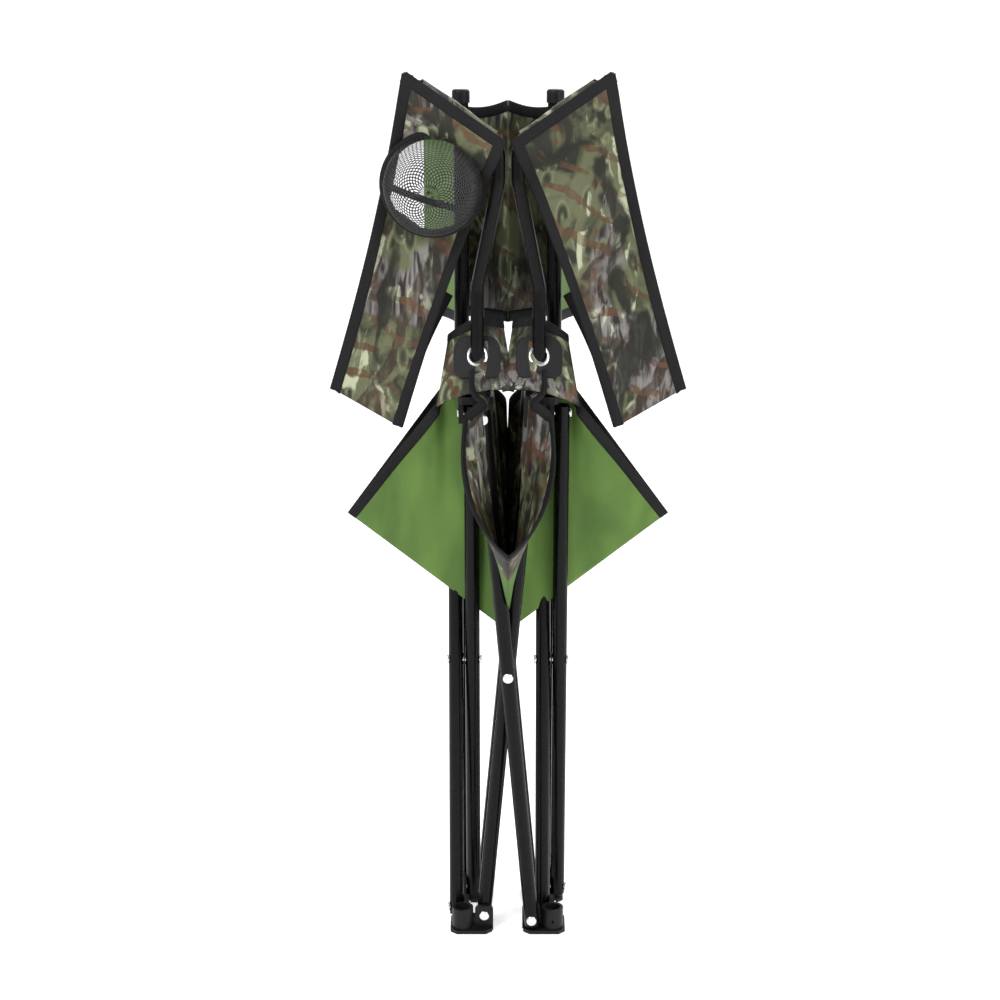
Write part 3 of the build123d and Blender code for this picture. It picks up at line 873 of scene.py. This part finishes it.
    def cup_holder(self) -> None:
        """Mesh pouch: a drooping bowl of mesh, its bound rim and one tape across it.

        The bowl's radius is the root of one less the cube of the way in, it stands out by the
        sine of that way, and it sags downward with its square.
        """
        centre, across, down, normal = self.cup_axes()
        angle = np.linspace(0, 2 * math.pi, 72)[None, :, None]
        depth = np.linspace(0, 1, 30)[:, None, None]
        radius = self.cup_radius * np.sqrt(np.maximum(1 - depth ** 3, 0.0004))
        out = self.cup_depth * np.sin(depth * math.pi / 2)
        wave = 0.0018 * np.sin(7 * angle) * depth
        points = (centre + radius * (across * np.cos(angle) + down * np.sin(angle))
                  + normal * (out + wave) + down * self.cup_droop * depth ** 2)
        bag = grid_piece("cup_pouch", points, [self.finishes["open_mesh"]])
        rim_angle = np.linspace(0, 2 * math.pi, 96, endpoint=False)[None, :, None]
        turn = np.linspace(0, 2 * math.pi, 16, endpoint=False)[:, None, None]
        ring = self.cup_radius + self.rim_wire[0] * np.cos(turn)
        rim_points = (centre + ring * (across * np.cos(rim_angle) + down * np.sin(rim_angle))
                      + normal * self.rim_wire[1] * np.sin(turn))
        rim = grid_piece("cup_rim", rim_points, [self.finishes["black_binding"]], 0.0, (True, True))
        close_up(rim)
        share = np.linspace(-1, 1, 40)[:, None]
        line = (centre + across * share * self.cup_radius + down * self.tape_place
                + normal * (self.tape_stand * np.cos(share * math.pi / 2) ** 0.5))
        tape = band("cup_tape", line, normal, *self.tape, self.finishes["black_binding"])
        for piece, node in ((bag, "cup_holder_bag"), (rim, "cup_holder_ring"), (tape, None)):
            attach(piece, "arm_front_left")
            if node:
                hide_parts(node)

    def build(self) -> None:
        """Make both strips, and the cup holder on the left."""
        self.front()
        self.rear()
        if self.side is Side.LEFT:
            self.cup_holder()
        LOG.info("arm rest %s", self.side.name.lower())


@dataclass
class Back:
    """The back cloth: four pleats hung between the uprights, bound along top and bottom."""

    finishes: Wardrobe
    bottom: float = 0.655
    top: float = 0.892
    start: tuple[float, float] = (0.0495, 0.0585)
    fold: tuple[float, float] = (0.092, 0.1615)
    middle: tuple[float, float] = (0.0, 0.0914)
    cloth: float = 0.0014
    hollow: float = 0.008
    sag: float = 0.010
    binding: tuple[float, float] = (0.012, 0.004)  # width, thickness
    binding_in: float = 0.005
    seam: float = 1.04
    cut_share: float = 0.99

    def pleat(self, side: Side, first: tuple[float, float], second: tuple[float, float],
              label: str) -> None:
        """One pleat: a ruled wall with a hollow that is nothing on its upright edges."""
        body = f"{label}_{side.name.lower()}"
        u = np.linspace(0, 1, 26)[:, None]
        v = np.linspace(0, 1, 40)[None, :]
        hollow = self.hollow * np.sin(math.pi * u) * (0.5 + 0.5 * np.cos(2 * math.pi * v))
        x = side.value * (first[0] + (second[0] - first[0]) * u) - side.value * hollow
        y = first[1] + (second[1] - first[1]) * u
        sag = self.sag * np.sin(math.pi * u) * v
        z = self.bottom + (self.top - self.bottom) * v - sag
        points = np.stack(np.broadcast_arrays(x, y, z), axis=-1)
        if side is Side.LEFT:
            points = points[:, ::-1]
        cloth = grid_piece(f"{label}_cloth_{side.name.lower()}", points,
                           [self.finishes["green_lining"], self.finishes["woodland_print"]],
                           self.cloth)
        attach(cloth, body)
        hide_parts(body)
        for word, edge, inside in (("low", points[:, 0], points[:, 1]),
                                   ("high", points[:, -1], points[:, -2])):
            inward = inside - edge
            inward /= np.linalg.norm(inward, axis=1, keepdims=True)
            face = np.cross(np.gradient(edge, axis=0), inward)
            made = band(f"{label}_binding_{word}_{side.name.lower()}",
                        edge + inward * self.binding_in, face, *self.binding,
                        self.finishes["black_binding"])
            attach(made, body)
        surface_area(points) * self.cut_share

    def build(self) -> None:
        """Make the four pleats."""
        for side in Side:
            self.pleat(side, self.start, self.fold, "back_side")
            self.pleat(side, self.fold, self.middle, "back_middle")
        LOG.info("back cloth")


@dataclass
class Lattice:
    """The frame's CAD nodes, dressed in their finishes."""

    finishes: Wardrobe

    def finish_of(self, node: str) -> str:
        """The finish that a node's name calls for."""
        if "rivet" in node:
            return "nickel"
        if node.startswith(("foot_", "bracket_", "collar_", "top_cap", "spacer")):
            return "moulded_foot"
        return "powder_coat"

    def build(self) -> None:
        """Put each finish on its nodes."""
        for name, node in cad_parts.items():
            node.data.materials.clear()
            node.data.materials.append(self.finishes[self.finish_of(name)])
            LOG.info("dressed %s", name)


@dataclass
class Studio:
    """Pale sweep, soft lights and the camera."""

    eye: Place = (-0.0085, -2.2, 1.05)
    pitch: float = -14.6
    focal: float = 2.122  # focal length over the picture's side
    floor: float = 3.0
    curve: float = 1.5
    width: float = 9.0
    glow: float = 0.38
    sky: float = 0.5
    aim: Place = (0.0, 0.0, 0.5)
    sensor: float = 36.0
    lamps: tuple[tuple[str, Place, float, float], ...] = (  # name, place, size, power
        ("key", (-1.5, -1.9, 2.3), 1.4, 62.0),
        ("fill", (1.9, -1.6, 1.5), 1.4, 34.0),
        ("back", (0.4, 2.0, 2.6), 1.8, 40.0),
    )

    def light(self, name: str, place: Place, size: float, power: float) -> None:
        """A square soft light aimed at the chair's middle."""
        data = bpy.data.lights.new(name, "AREA")
        data.size = size
        data.energy = power
        lamp = bpy.data.objects.new(name, data)
        lamp.location = place
        way = Vector(self.aim) - Vector(place)
        lamp.rotation_euler = way.to_track_quat("-Z", "Y").to_euler()
        bpy.context.scene.collection.objects.link(lamp)

    def build(self) -> None:
        """Make the floor, the lights, the sky and the camera."""
        turn = np.linspace(0, math.pi / 2, 24)
        bend = np.stack([self.floor + self.curve * np.sin(turn),
                         self.curve * (1 - np.cos(turn))], axis=-1)
        wall = self.floor + self.curve
        profile = np.concatenate([[[-self.width, 0.0]], bend, [[wall, self.width]]])
        sides = np.array([-self.width, self.width])[:, None]
        sweep = np.stack(np.broadcast_arrays(sides, profile[:, 0], profile[:, 1]), axis=-1)
        tree = Tree("pale_floor")
        tree.shader.inputs["Base Color"].default_value = rgb(0.92, 0.92, 0.92)
        tree.shader.inputs["Roughness"].default_value = 0.8
        tree.shader.inputs["Emission Color"].default_value = rgb(1, 1, 1)
        tree.shader.inputs["Emission Strength"].default_value = self.glow
        floor = grid_piece("floor", sweep, [tree.material])
        world = bpy.data.worlds.new("studio")
        world.use_nodes = True
        sky = world.node_tree.nodes["Background"]
        sky.inputs["Color"].default_value = rgb(1, 1, 1)
        sky.inputs["Strength"].default_value = self.sky
        bpy.context.scene.world = world
        bpy.context.scene.view_settings.view_transform = "Standard"
        for lamp in self.lamps:
            self.light(*lamp)
        data = bpy.data.cameras.new("camera")
        data.sensor_width = self.sensor
        data.lens = self.sensor * self.focal
        camera = bpy.data.objects.new("camera", data)
        camera.location = self.eye
        camera.rotation_euler = (math.radians(90 + self.pitch), 0, 0)
        bpy.context.scene.collection.objects.link(camera)
        bpy.context.scene.camera = camera
        LOG.info("studio")


def main() -> None:
    """Build the chair's pieces in order."""
    logging.basicConfig(level=logging.INFO)
    finishes = Wardrobe()
    finishes.fill()
    Studio().build()
    Lattice(finishes).build()
    Seat(finishes).build()
    for side in Side:
        ArmRest(finishes, side).build()
    Back(finishes).build()


if __name__ == "__main__":
    main()
